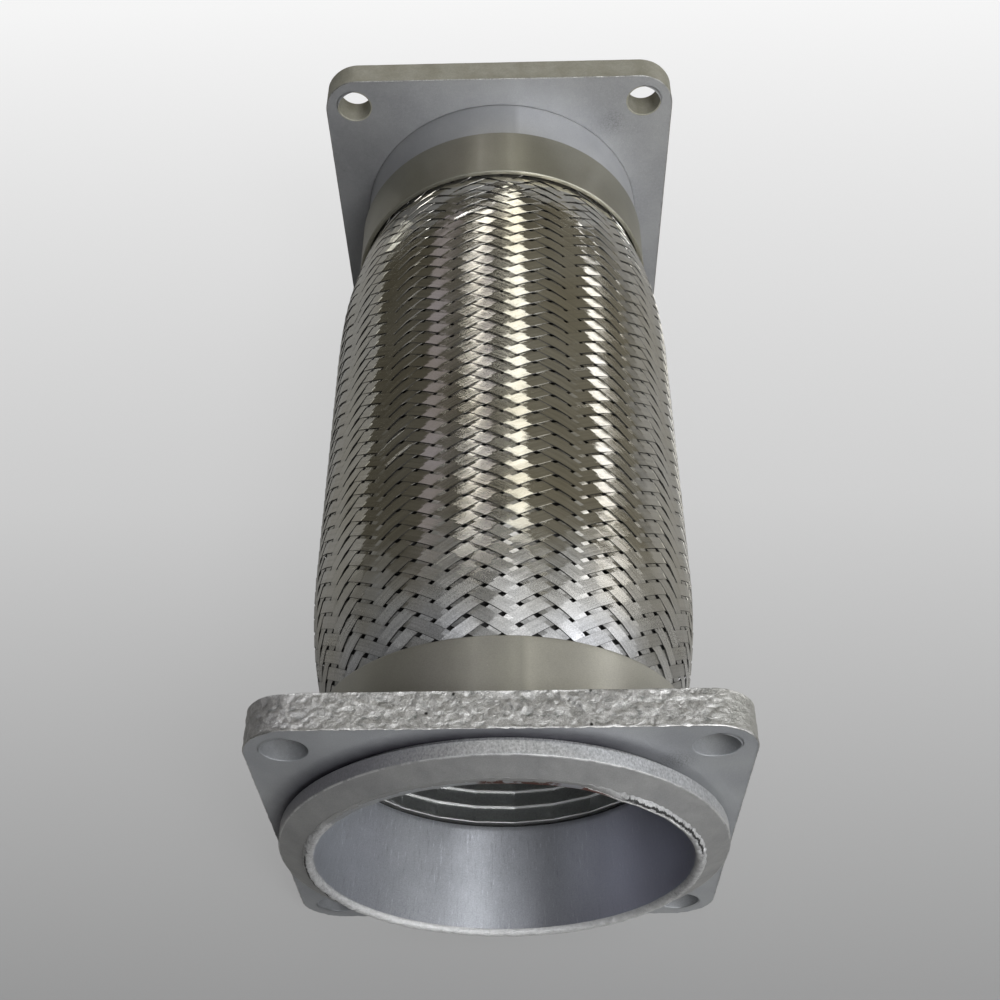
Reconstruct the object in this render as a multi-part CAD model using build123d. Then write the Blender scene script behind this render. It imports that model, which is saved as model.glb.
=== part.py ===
from build123d import *
from math import cos, pi, radians, sin, tan
import os

# Frame: the pipe runs along +Y, +Z is up, and the origin is the centre of the
# near flange's front face. All sizes in mm.

# Square flange plates
bolt_spacing = 125.0
bolt_hole_diameter = 14.0
bolt_hole_edge_round = 0.4
plate_edge_margin = 12.5
plate_thickness = 12.0
plate_corner_radius = 15.0
plate_edge_round = 0.8
face_to_face = 317.0

# Flared sleeve that lines the near flange
throat_radius = 56.1
sleeve_taper_deg = 7.87
sleeve_wall = 1.8
sleeve_inset = 26.5
sleeve_fit = 0.05

# Ring standing on the near flange, and the weld bead on its rim
ring_height = 10.4
ring_hub_height = 2.3
ring_band_height = 4.6
ring_cone_width = 8.1
ring_face_width = 1.4
ring_hub_inset = 3.0
rim_bead_height = 2.1
rim_bead_lap = 0.1

# Layers clamped together under each end cap, from the inside out
stack_setback = 5.0
cuff_fit = 0.1
bellows_wall = 0.4
wrap_fit = 0.1
braid_end_wall = 1.6
cap_fit = 0.15
cap_wall = 1.95
cap_length = 25.5
cap_edge_round = 0.8
root_weld_fit = 0.05

# Interlocked strip liner
liner_facets = 24
liner_start_gap = 1.5
liner_step = 0.2
liner_outer_fit = 0.6
liner_groove = 0.9
liner_pitch = 6.2
liner_tail = 12.0
liner_facet_turn_deg = 3.3

# Bellows
bellows_pitch = 10.5
bellows_height = 6.1
bellows_count = 15

# Braided jacket
braid_stripes = 36
braid_turn_deg = 3.2
braid_swell = 8.0
braid_swell_length = 57.5
braid_swell_power = 2.2
braid_row_pitch = 6.2
braid_ridge = 0.5
braid_row_step = 0.35
braid_wall = 0.9
braid_plain_end = 5.0
gap_length = 2.6
gap_width = 1.7
near_gap_rows = 2
far_gap_rows = 1
braid_lead = 1.0
braid_bore_bands = 10

# Collar between the far cap and the far flange
collar_wall = 3.0
collar_length = 33.0
collar_liner_fit = 0.2
collar_plate_fit = 0.1
collar_recess = 3.0
far_bead_height = 2.4
far_bead_hollow = 0.3

# How far cutters run past what they cut, and how near two sizes are to be the same
cut_over = 1.0
same_size = 1e-4

# Sizes that follow from the ones above
plate_side = bolt_spacing + 2 * plate_edge_margin
taper = tan(radians(sleeve_taper_deg))
stack_start = plate_thickness + stack_setback
cap_near_edge = plate_thickness + cap_length
far_plate_face = face_to_face - plate_thickness
collar_end = face_to_face - collar_recess
stack_end = collar_end - collar_length + collar_recess
cap_far_edge = stack_end - cap_length


def sleeve_inner(y):
    """Inner radius of the flared sleeve at y."""
    return throat_radius + (sleeve_inset - y) * taper


def sleeve_outer(y):
    """Outer radius of the flared sleeve at y."""
    return sleeve_inner(y) + sleeve_wall


cuff_radius = sleeve_outer(stack_start) + cuff_fit
braid_end_inner = cuff_radius + bellows_wall + wrap_fit
braid_end_outer = braid_end_inner + braid_end_wall
cap_inner = braid_end_outer + cap_fit
cap_outer = cap_inner + cap_wall
liner_outer = cuff_radius - liner_outer_fit
liner_lip = throat_radius + liner_step
collar_inner = liner_outer + collar_liner_fit
collar_outer = collar_inner + collar_wall


def turned(points):
    """Solid of revolution about Y from (radius, y) corners."""
    wire = Polyline(*[(r, y) for r, y in points], close=True)
    return revolve(make_face(wire), Axis.Y)


def ring_edges(part, radius, y):
    """Circular edges of a turned part at one radius and height."""
    found = []
    for edge in part.edges().filter_by(GeomType.CIRCLE):
        same_y = abs(edge.arc_center.Y - y) < same_size
        if same_y and abs(edge.radius - radius) < same_size:
            found.append(edge)
    return found


def plate(front_y):
    """Square plate with rounded corners and four bolt holes."""
    body = Box(plate_side, plate_thickness, plate_side)
    body = fillet(body.edges().filter_by(Axis.Y), plate_corner_radius)
    rims = body.edges().group_by(Axis.Y)
    body = fillet(rims[0] + rims[-1], plate_edge_round)
    hole = Rot(90, 0, 0) * Cylinder(bolt_hole_diameter / 2, plate_thickness)
    half = bolt_spacing / 2
    for x in (-half, half):
        for z in (-half, half):
            body -= Pos(x, 0, z) * hole
    rims = body.edges().filter_by(GeomType.CIRCLE)
    holes = [e for e in rims if abs(e.radius - bolt_hole_diameter / 2) < same_size]
    body = fillet(holes, bolt_hole_edge_round)
    return Pos(0, front_y + plate_thickness / 2, 0) * body


def near_flange():
    """Plate with a bore tapered to match the sleeve."""
    back = plate_thickness + cut_over
    bore = turned([
        (0, -cut_over),
        (sleeve_outer(-cut_over) + sleeve_fit, -cut_over),
        (sleeve_outer(back) + sleeve_fit, back),
        (0, back),
    ])
    return plate(0) - bore


def far_flange():
    """Plate bored for the collar."""
    bore_radius = collar_outer + collar_plate_fit
    bore = Rot(90, 0, 0) * Cylinder(bore_radius, plate_thickness + 2 * cut_over)
    return plate(far_plate_face) - Pos(0, far_plate_face + plate_thickness / 2, 0) * bore


def near_seal_ring():
    """Ring with a setback hub, a plain band and a coned front."""
    rim = sleeve_outer(-ring_height) + ring_face_width
    band = rim + ring_cone_width
    hub = band - ring_hub_inset
    band_front = -(ring_hub_height + ring_band_height)
    return turned([
        (sleeve_outer(0) + sleeve_fit, 0),
        (hub, 0),
        (hub, -ring_hub_height),
        (band, -ring_hub_height),
        (band, band_front),
        (rim, -ring_height),
        (sleeve_outer(-ring_height) + sleeve_fit, -ring_height),
    ])


def near_sleeve():
    """Flared tube from the ring's rim to the liner."""
    return turned([
        (sleeve_inner(-ring_height), -ring_height),
        (sleeve_outer(-ring_height), -ring_height),
        (sleeve_outer(sleeve_inset), sleeve_inset),
        (sleeve_inner(sleeve_inset), sleeve_inset),
    ])


def near_rim_weld():
    """Rounded bead over the joint of sleeve and ring."""
    inner = sleeve_inner(-ring_height) + rim_bead_lap
    outer = sleeve_outer(-ring_height) + ring_face_width - rim_bead_lap
    middle = (inner + outer) / 2
    arc = ThreePointArc(
        (inner, -ring_height),
        (middle, -ring_height - rim_bead_height),
        (outer, -ring_height),
    )
    base = Line((outer, -ring_height), (inner, -ring_height))
    return revolve(make_face(arc + base), Axis.Y)


def near_root_weld():
    """Weld that closes the layers against the near flange."""
    return turned([
        (sleeve_outer(plate_thickness) + root_weld_fit, plate_thickness),
        (cap_inner - root_weld_fit, plate_thickness),
        (cap_inner - root_weld_fit, stack_start),
        (sleeve_outer(stack_start) + root_weld_fit, stack_start),
    ])


def end_cap(back_y, edge_y):
    """Short band pressed over the braid's end, its free edge rounded."""
    body = turned([
        (cap_inner, back_y),
        (cap_outer, back_y),
        (cap_outer, edge_y),
        (cap_inner, edge_y),
    ])
    return fillet(ring_edges(body, cap_outer, edge_y), cap_edge_round)


def far_collar():
    """Plain tube from the layers' end into the far flange."""
    return turned([
        (collar_inner, stack_end),
        (collar_outer, stack_end),
        (collar_outer, collar_end),
        (collar_inner, collar_end),
    ])


def far_rim_weld():
    """Fillet bead between the collar's end and the flange bore."""
    bore = collar_outer + collar_plate_fit
    toe = bore - collar_wall
    arc = ThreePointArc(
        (toe, collar_end),
        ((toe + bore) / 2 - far_bead_hollow, collar_end + far_bead_height / 2 + far_bead_hollow),
        (bore, collar_end + far_bead_height),
    )
    side = Line((bore, collar_end + far_bead_height), (bore, collar_end))
    base = Line((bore, collar_end), (toe, collar_end))
    return revolve(make_face(arc + side + base), Axis.Y)


def flat_face(points):
    """Planar face from its corners."""
    return Face(Wire.make_polygon([Vector(*p) for p in points], close=True))


def line_points(line):
    """Corners of one closed line round the pipe: (radius, angle, y) triples."""
    return [(r * sin(a), y, r * cos(a)) for r, a, y in line]


def stacked_lines(lines):
    """Closed solid from lines round the pipe, one above the other."""
    rings = [line_points(line) for line in lines]
    count = len(rings[0])
    faces = []
    for low, high in zip(rings, rings[1:]):
        for i in range(count):
            j = (i + 1) % count
            faces += tile([low[i], low[j], high[j], high[i]])
    faces.append(flat_face(rings[0]))
    faces.append(flat_face(rings[-1]))
    return Solid(Shell(faces))


def tile(corners):
    """One planar face, or two triangles where four corners aren't planar."""
    a, b, c, d = [Vector(*p) for p in corners]
    normal = (b - a).cross(d - a).normalized()
    if abs(normal.dot(c - a)) < same_size / 100:
        return [flat_face(corners)]
    first = flat_face([corners[0], corners[1], corners[2]])
    second = flat_face([corners[0], corners[2], corners[3]])
    return [first, second]


def liner():
    """Tube of short many-sided turns, each with a lip standing into the bore."""
    start = sleeve_inset + liner_start_gap
    end = stack_end + liner_tail
    turns = round((end - start) / liner_pitch)
    pitch = (end - start) / turns
    step = 2 * pi / liner_facets
    turn = radians(liner_facet_turn_deg)

    def line(radius, y):
        return [(radius, turn + i * step, y) for i in range(liner_facets)]

    outside = stacked_lines([line(liner_outer, start), line(liner_outer, end)])
    bore = [line(liner_lip, start - cut_over)]
    for i in range(turns):
        y = start + i * pitch
        if i > 0:
            bore.append(line(liner_lip, y))
        bore.append(line(liner_lip + liner_groove, y + pitch))
    bore.append(line(liner_lip + liner_groove, end + cut_over))
    return outside - stacked_lines(bore)


def bellows():
    """Corrugated tube with a plain cuff at each end."""
    bend = bellows_pitch / 4
    root = cuff_radius + bellows_wall / 2
    crest = root + bellows_height
    middle = (cap_near_edge + cap_far_edge) / 2
    first = middle - bellows_count * bellows_pitch / 2

    def side(shift):
        """Edges along one side of the wall, shifted outwards by shift."""
        up = crest - bend
        down = root + bend
        small = bend - shift
        big = bend + shift
        edges = [Line((root + shift, stack_start), (root + shift, first))]
        for i in range(bellows_count):
            base = first + i * bellows_pitch
            top = base + bellows_pitch
            low = base + bend - shift
            high = top - bend + shift
            edges.append(RadiusArc((root + shift, base), (down, low), -small))
            edges.append(Line((down, low), (up, low)))
            edges.append(ThreePointArc((up, low), (up + big, (base + top) / 2), (up, high)))
            edges.append(Line((up, high), (down, high)))
            edges.append(RadiusArc((down, high), (root + shift, top), -small))
        edges.append(Line((root + shift, top), (root + shift, stack_end)))
        return edges

    half = bellows_wall / 2
    ends = [
        Line((root - half, stack_start), (root + half, stack_start)),
        Line((root - half, stack_end), (root + half, stack_end)),
    ]
    outline = Curve() + side(half) + side(-half) + ends
    return revolve(make_face(outline), Axis.Y)


def swell(y):
    """Outer radius of the braid at y, from under the caps to mid-length."""
    run = min(y - cap_near_edge, cap_far_edge - y) / braid_swell_length
    run = min(max(run, 0), 1)
    return braid_end_outer + braid_swell * (1 - (1 - run) ** braid_swell_power)


def braid_line(y, lift, wave):
    """Line of the weave: raised stripe middles, and a zigzag along the pipe."""
    nearer = y if y < (cap_near_edge + cap_far_edge) / 2 else y + wave
    valley = swell(nearer) - braid_ridge - braid_row_step + lift
    spread = valley / braid_end_outer
    points = []
    for i in range(2 * braid_stripes):
        angle = radians(braid_turn_deg + i * 180 / braid_stripes)
        share = (0, 0.5, 1, 0.5)[i % 4]
        ridge = braid_ridge if i % 2 else 0
        points.append((valley + ridge * spread, angle, y + wave * share * spread))
    return points


def flat_line(radius, y):
    """Many-sided plain line at the braid's ends."""
    count = 2 * braid_stripes
    return [(radius, radians(braid_turn_deg + i * 360 / count), y) for i in range(count)]


def braid_inside(y):
    """Inner radius of the braid at y, clear of every float's valley."""
    half = (cap_near_edge + cap_far_edge) / 2
    nearer = y - braid_row_pitch if y < half else y + braid_row_pitch
    return swell(nearer) - braid_ridge - braid_row_step - braid_wall


def braid_bore():
    """Solid inside the braid, drawn from smooth bands."""
    low = stack_start - cut_over
    high = stack_end + cut_over
    step = braid_swell_length / braid_bore_bands
    near = [cap_near_edge + braid_row_pitch + i * step for i in range(braid_bore_bands + 1)]
    far = [cap_near_edge + cap_far_edge - y for y in reversed(near)]
    points = [(0, low), (braid_end_inner, low)]
    for y in near + far:
        points.append((max(braid_inside(y), braid_end_inner), y))
    points += [(braid_end_inner, high), (0, high)]
    return turned(points)


def weave_gap(angle, y):
    """Small diamond cutter through the wall, at an angle round the pipe."""
    reach = braid_end_outer + braid_swell + cut_over
    outline = Polyline(
        (-gap_length / 2, 0), (0, gap_width / 2), (gap_length / 2, 0), (0, -gap_width / 2),
        close=True,
    )
    prism = extrude(make_face(outline), reach)
    return Rot(0, angle, 0) * Pos(0, y, 0) * prism


def braid():
    """Braided jacket: rows of ridged zigzag floats over a smooth inside."""
    plain_low = stack_start + braid_plain_end
    plain_high = stack_end - braid_plain_end
    span = plain_high - plain_low - braid_row_pitch - 2 * braid_lead
    rows = round(span / braid_row_pitch)
    pitch = span / rows
    lines = [flat_line(braid_end_outer, stack_start), flat_line(braid_end_outer, plain_low)]
    starts = [plain_low + braid_lead + i * pitch for i in range(rows)]
    for y in starts:
        lines.append(braid_line(y, braid_row_step, pitch))
        lines.append(braid_line(y + pitch, 0, pitch))
    lines += [flat_line(braid_end_outer, plain_high), flat_line(braid_end_outer, stack_end)]
    bare = [y for y in starts if y > cap_near_edge + gap_width and y + pitch < cap_far_edge - gap_width]
    cutters = []
    for y in bare[:near_gap_rows] + bare[len(bare) - far_gap_rows:]:
        for i in range(braid_stripes):
            rise = (i % 2) * pitch
            cutters.append(weave_gap(braid_turn_deg + i * 360 / braid_stripes, y + rise))
    return stacked_lines(lines) - ([braid_bore()] + cutters)


pieces = {
    "near_flange": near_flange(),
    "near_seal_ring": near_seal_ring(),
    "near_rim_weld": near_rim_weld(),
    "near_sleeve": near_sleeve(),
    "near_root_weld": near_root_weld(),
    "near_end_cap": end_cap(plate_thickness, cap_near_edge),
    "liner": liner(),
    "bellows": bellows(),
    "braid": braid(),
    "far_end_cap": end_cap(stack_end, cap_far_edge),
    "far_collar": far_collar(),
    "far_flange": far_flange(),
    "far_rim_weld": far_rim_weld(),
}

os.makedirs("parts", exist_ok=True)
for name, shape in pieces.items():
    shape.label = name
    export_step(shape, "parts/" + name + ".step")
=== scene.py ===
from math import cos, pi, radians, sin, tan

import bpy
import numpy as np
from mathutils import Matrix, Vector
from mathutils.geometry import delaunay_2d_cdt


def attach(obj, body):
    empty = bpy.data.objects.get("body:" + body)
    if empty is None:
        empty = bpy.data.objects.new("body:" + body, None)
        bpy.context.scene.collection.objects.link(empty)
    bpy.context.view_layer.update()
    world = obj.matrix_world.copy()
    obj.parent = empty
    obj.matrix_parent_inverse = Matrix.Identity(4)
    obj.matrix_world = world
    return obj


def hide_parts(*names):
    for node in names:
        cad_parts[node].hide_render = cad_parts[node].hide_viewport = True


# Lengths are in millimetres until a mesh is made, in the part's own frame:
# the pipe runs along +Y from the near flange's front face, and +Z is up.
MM = 0.001

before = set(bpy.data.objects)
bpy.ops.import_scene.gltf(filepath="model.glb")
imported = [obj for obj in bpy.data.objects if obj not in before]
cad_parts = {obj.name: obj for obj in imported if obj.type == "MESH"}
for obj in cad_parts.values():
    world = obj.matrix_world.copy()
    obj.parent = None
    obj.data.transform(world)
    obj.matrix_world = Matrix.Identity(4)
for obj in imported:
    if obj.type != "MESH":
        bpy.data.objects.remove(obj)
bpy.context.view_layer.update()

# Sizes that follow the solids
PLATE_HALF = 75.0
PLATE_CORNER = 15.0
PLATE_THICKNESS = 12.0
HOLE_OFFSET = 62.5
HOLE_RADIUS = 7.0
NEAR_BORE_FRONT = 62.5
NEAR_BORE_BACK = 60.2
FAR_FACE = 305.0
SLEEVE_THROAT = 56.1
SLEEVE_TAPER = tan(radians(7.87))
SLEEVE_WALL = 1.8
SLEEVE_END = 26.5
RING_INNER = 62.2
RING_HUB = 69.4
RING_HUB_END = -2.3
RING_OUTER = 72.5
RING_CORNER = -6.9
RING_FRONT = -10.4
BEAD_MIDDLE = 62.8
BEAD_HALF = 1.75
BEAD_HEIGHT = 2.3
BEAD_FOOT = RING_FRONT + 0.35
BEAD_FRONT = -12.5
CAP_INNER = 61.55
CAP_FOOT = 61.7
CAP_OUTER = 63.5
CAP_NEAR_EDGE = 37.5
CAP_FAR_EDGE = 258.5
STACK_END = 284.0
COLLAR_OUTER = 61.9
COLLAR_INNER = 58.95
COLLAR_END = 314.0
LINER_START = 28.0
LINER_END = 296.0
LINER_TURNS = 43
LINER_PITCH = (LINER_END - LINER_START) / LINER_TURNS
LINER_FACETS = 24
LINER_LIP = 56.3
LINER_GROOVE = 57.2
LINER_OUTER = 58.7
BRAID_END = 61.4
BRAID_SWELL = 8.0
BRAID_SWELL_LENGTH = 57.5
BRAID_SWELL_POWER = 2.2

# Flange plates: the rim is told as (inset from the edge, depth below the nearer face)
FRONT_RIM = ((5.0, 0.0), (3.0, 0.0), (1.8, 0.0), (1.1, 0.0), (0.7, 0.0), (0.45, 0.0),
             (0.22, 0.02), (0.06, 0.14), (0.0, 0.35))
BACK_RIM = ((5.0, 0.0), (3.0, 0.0), (1.2, 0.0), (0.5, 0.0), (0.22, 0.02), (0.06, 0.14), (0.0, 0.35))
SHEET_INSET = FRONT_RIM[0][0]
RIM_POINTS = 1436
HOLE_EDGE = 0.6
HOLE_POINTS = 72
BORE_POINTS = 256
FACE, EDGE, BURR = 0, 1, 2

# Places of painted shade up and to the left of the mouth, and of the bead's lip and rim
RING_SHADE_START = 68.0
RING_SHADE_SIDE = -39.73
BEAD_LIP = 62.3
BEAD_RIM = 64.0

# Liner: the photograph shows the facets 6.3 degrees back from the solid's 3.3.
# A turn is told as (rise above the lip, distance along), and a facet by the places of its points.
LINER_TURN = radians(3.3) - radians(6.3)
LINER_INSIDE = 57.6
TURN_SECTION = ((0.80, -0.10), (0.25, -0.07), (0.05, 0.06), (0.0, 0.24), (0.06, 0.44), (0.20, 0.66),
                (0.32, 0.95), (0.42, 1.5), (0.50, 2.6), (0.60, 4.2), (0.70, 5.2))
FACET_PLACES = (0.0, 0.06, 0.16, 0.27, 0.42, 0.60, 0.78, 0.94)

# Weave
BANDS = 36
GROUPS = 3
COLUMN = radians(5.0)
FIRST_COLUMN = radians(0.7)
FIRST_ROW = 38.7
WEAVE_START = 30.0
WEAVE_END = 266.0
ROW_PITCH = 2.93
HIDDEN_ROW_PITCH = 3.35
BRAID_DEPTH = 0.62
CELL_SAMPLES = (-0.38, 0.0, 0.38, 0.5)
FLOAT_PLACES = (0.0, 0.88, 1.0, 1.12, 2.0)
FLOAT_HEIGHTS = (0.24, 0.085, 0.0, -0.085, -0.24)
FACET_SHARE = 0.9
BAND_SECTION = ((-1.0, -0.19), (-0.96, -0.01), (0.0, 0.012), (0.96, -0.01), (1.0, -0.19))
WIRES = 12
LOOSE_CHANCE = 0.045
LOOSE_RADIUS = 0.03
LOOSE_STEPS = 9
LOOSE_SIDES = 4


def sleeve_inner(y):
    return SLEEVE_THROAT + (SLEEVE_END - y) * SLEEVE_TAPER


def braid_radius(y):
    """Outer radius of the braid at each y."""
    run = np.minimum(y - CAP_NEAR_EDGE, CAP_FAR_EDGE - y) / BRAID_SWELL_LENGTH
    run = np.clip(run, 0, 1)
    return BRAID_END + BRAID_SWELL * (1 - (1 - run) ** BRAID_SWELL_POWER)


# Noise and mesh helpers

def lattice(ix, iy, iz, seed):
    """Repeatable value from 0 to 1 at each whole-number point."""
    n = ix * 73856093 ^ iy * 19349663 ^ iz * 83492791 ^ (seed * 40503 + 977)
    n = ((n ^ (n >> 13)) * 1274126177) & 0xFFFFFFFF
    n = ((n ^ (n >> 15)) * 668265263) & 0xFFFFFFFF
    return ((n ^ (n >> 16)) & 0xFFFFFF) / 0xFFFFFF


def noise(x, y, z, size, seed=0):
    """Smooth noise from -1 to 1 with bumps of about the given size."""
    x, y, z = np.broadcast_arrays(x / size, y / size, z / size)
    cells = [np.floor(v).astype(np.int64) for v in (x, y, z)]
    parts = [v - c for v, c in zip((x, y, z), cells)]
    parts = [f * f * (3 - 2 * f) for f in parts]
    total = np.zeros(x.shape)
    for corner in np.ndindex(2, 2, 2):
        weight = 1.0
        for f, step in zip(parts, corner):
            weight = weight * (f if step else 1 - f)
        total += weight * lattice(*(c + step for c, step in zip(cells, corner)), seed)
    return 2 * total - 1


def bell(value, centre, width):
    """Smooth bump of height 1 round a centre."""
    return np.exp(-((value - centre) / width) ** 2)


def between(value, low, high, soft):
    """Mask that is 1 from low to high and fades over soft."""
    rise = np.clip((value - low) / soft + 0.5, 0, 1)
    fall = np.clip((high - value) / soft + 0.5, 0, 1)
    return rise * fall


def angle_gap(angle, centre):
    """Difference of two angles in degrees, from -180 to 180."""
    return (angle - centre + 180) % 360 - 180


def densify(points, step):
    """Polyline with extra points so that no run is longer than step."""
    dense = [points[0]]
    for a, b in zip(points, points[1:]):
        count = max(1, int(np.ceil(np.hypot(b[0] - a[0], b[1] - a[1]) / step)))
        dense += list(np.linspace(a, b, count + 1)[1:])
    return np.array(dense)


def eased(points, radius):
    """Polyline with its inner corners rounded."""
    out = [points[0]]
    for before, here, after in zip(points, points[1:], points[2:]):
        a, b, c = np.array(before), np.array(here), np.array(after)
        reach = min(radius, np.linalg.norm(a - b) / 2, np.linalg.norm(c - b) / 2)
        p = b + (a - b) / np.linalg.norm(a - b) * reach
        q = b + (c - b) / np.linalg.norm(c - b) * reach
        for t in (0, 0.25, 0.5, 0.75, 1):
            out.append(tuple((1 - t) ** 2 * p + 2 * t * (1 - t) * b + t * t * q))
    out.append(points[-1])
    return out


def grid_faces(rows, columns, closed=True):
    """Quads of a grid of points; closed joins the last column to the first."""
    r = np.arange(rows - 1)[:, None]
    c = np.arange(columns if closed else columns - 1)[None, :]
    n = (c + 1) % columns
    quads = np.stack([r * columns + c, r * columns + n, (r + 1) * columns + n, (r + 1) * columns + c], -1)
    return quads.reshape(-1, 4)


def placed(name, data, axes=None, place=None):
    """Object in the scene, turned to three axes and moved to a place where they are given."""
    obj = bpy.data.objects.new(name, data)
    if axes:
        obj.matrix_world = Matrix(axes).transposed().to_4x4()
        obj.location = place
    bpy.context.scene.collection.objects.link(obj)
    return obj


def make_piece(name, points, faces, materials, node=None, sharp=40, uv=None, slots=None):
    """Mesh object in the part's frame that rides on the body and may stand for a CAD node."""
    mesh = bpy.data.meshes.new(name)
    mesh.from_pydata((np.asarray(points) * MM).tolist(), [], [list(f) for f in faces])
    for material in materials:
        mesh.materials.append(material)
    if slots is not None:
        mesh.polygons.foreach_set("material_index", slots)
    mesh.shade_smooth()
    mesh.set_sharp_from_angle(angle=radians(sharp))
    if uv is not None:
        loops = np.zeros(len(mesh.loops), np.int32)
        mesh.loops.foreach_get("vertex_index", loops)
        layer = mesh.uv_layers.new(name="UVMap")
        layer.data.foreach_set("uv", np.asarray(uv, np.float32)[loops].ravel())
    obj = placed(name, mesh)
    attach(obj, "root")
    if node:
        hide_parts(*([node] if isinstance(node, str) else node))
    return obj


def turned(r, y, a):
    """Points at radius r, distance y along the pipe and angle a from the top."""
    return np.stack([r * np.sin(a), y, r * np.cos(a)], -1)


def turned_grid(profile, segments, shape=None):
    """Points of an (r, y) profile turned about the axis; shape(r, y, a, x, z) moves them."""
    a = np.linspace(0, 2 * pi, segments, endpoint=False)[None, :]
    r, y, a = np.broadcast_arrays(profile[:, :1], profile[:, 1:], a)
    if shape:
        r, y = shape(r, y, a, r * np.sin(a), r * np.cos(a))
    return turned(r, y, a)


def turned_piece(name, profile, segments, material, node, shape, sharp):
    grid = turned_grid(profile, segments, shape)
    faces = grid_faces(grid.shape[0], segments)
    return make_piece(name, grid.reshape(-1, 3), faces, [material], node, sharp)


def join(parts):
    """One mesh from several, each told as points, faces, and the faces' slots or the points' uvs."""
    points, faces, extras, total = [], [], [], 0
    for p, f, extra in parts:
        points.append(p)
        faces += (f + total).tolist()
        extras.append(extra)
        total += len(p)
    return np.concatenate(points), faces, np.concatenate(extras)


# Materials

class Nodes:
    """Short calls that add nodes to one tree."""

    def __init__(self, tree):
        self.tree = tree

    def node(self, kind, links=None, **settings):
        made = self.tree.nodes.new("ShaderNode" + kind)
        for key, value in settings.items():
            setattr(made, key, value)
        for key, value in (links or {}).items():
            if isinstance(value, bpy.types.NodeSocket):
                self.tree.links.new(value, made.inputs[key])
            else:
                made.inputs[key].default_value = value
        return made

    def out(self, kind, links=None, socket=0, **settings):
        return self.node(kind, links, **settings).outputs[socket]

    def show(self, shader, output):
        self.tree.links.new(shader, self.tree.nodes[output].inputs["Surface"])

    def place(self):
        """Position in the part's frame, in millimetres."""
        where = self.out("TexCoord", socket="Object")
        return self.out("VectorMath", {0: where, 3: 1 / MM}, operation="SCALE")

    def vector(self, operation, a, b=(0.0, 0.0, 0.0), socket=0):
        return self.out("VectorMath", {0: a, 1: b}, socket, operation=operation)

    def stretch(self, vector, x, y, z):
        return self.vector("MULTIPLY", vector, (x, y, z))

    def radial(self, vector):
        """The vector's part across the pipe's axis."""
        return self.stretch(vector, 1.0, 0.0, 1.0)

    def radius(self, vector):
        return self.vector("LENGTH", self.radial(vector), socket=1)

    def toward(self, vector, angle):
        """How far a place lies towards an angle round the axis: 0 is up and 90 is to the right."""
        return self.vector("DOT_PRODUCT", vector, (sin(radians(angle)), 0.0, cos(radians(angle))), 1)

    def parts(self, vector):
        return self.node("SeparateXYZ", {0: vector}).outputs

    def grain(self, vector, scale, detail=4.0, rough=0.55, distortion=0.0):
        return self.out("TexNoise", {"Vector": vector, "Scale": scale, "Detail": detail,
                                     "Roughness": rough, "Distortion": distortion})

    def spots(self, vector, scale):
        return self.out("TexVoronoi", {"Vector": vector, "Scale": scale})

    def ramp(self, factor, *stops):
        """Colour ramp through stops, each a position and a value or colour."""
        made = self.node("ValToRGB", {"Fac": factor})
        band = made.color_ramp.elements
        band.remove(band[1])
        for i, (at, colour) in enumerate(stops):
            element = band.new(at) if i else band[0]
            element.position = at
            element.color = (*colour, 1) if isinstance(colour, tuple) else (colour, colour, colour, 1)
        return made.outputs["Color"]

    def math(self, operation, a, b=0.0, c=0.0, clamp=False):
        return self.out("Math", {0: a, 1: b, 2: c}, operation=operation, use_clamp=clamp)

    def times(self, a, b):
        return self.math("MULTIPLY", a, b)

    def apart(self, a, b):
        """Difference of two values without its sign."""
        return self.math("ABSOLUTE", self.math("SUBTRACT", a, b))

    def fade(self, value, scale, offset, *stops):
        """Ramp over a value that is first scaled and shifted into 0 to 1."""
        return self.ramp(self.math("MULTIPLY_ADD", value, scale, offset), *stops)

    def mix(self, factor, a, b, blend="MIX"):
        a, b = ((*v, 1) if isinstance(v, tuple) else v for v in (a, b))
        return self.out("Mix", {0: factor, 6: a, 7: b}, 2, data_type="RGBA", blend_type=blend)

    def shade(self, share, colour, factor):
        """Colour multiplied by a share of a factor."""
        return self.mix(share, colour, factor, "MULTIPLY")

    def bump(self, height, strength, distance, after=None):
        links = {"Height": height, "Strength": strength, "Distance": distance}
        if after is not None:
            links["Normal"] = after
        return self.out("Bump", links)


class Look(Nodes):
    """Node material with a Principled surface."""

    def __init__(self, name, **values):
        self.material = bpy.data.materials.new(name)
        self.material.use_nodes = True
        super().__init__(self.material.node_tree)
        self.surface = self.tree.nodes["Principled BSDF"]
        for key, value in values.items():
            self.surface.inputs[key.replace("_", " ")].default_value = value

    def set(self, socket, value):
        self.tree.links.new(value, self.surface.inputs[socket])


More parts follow.
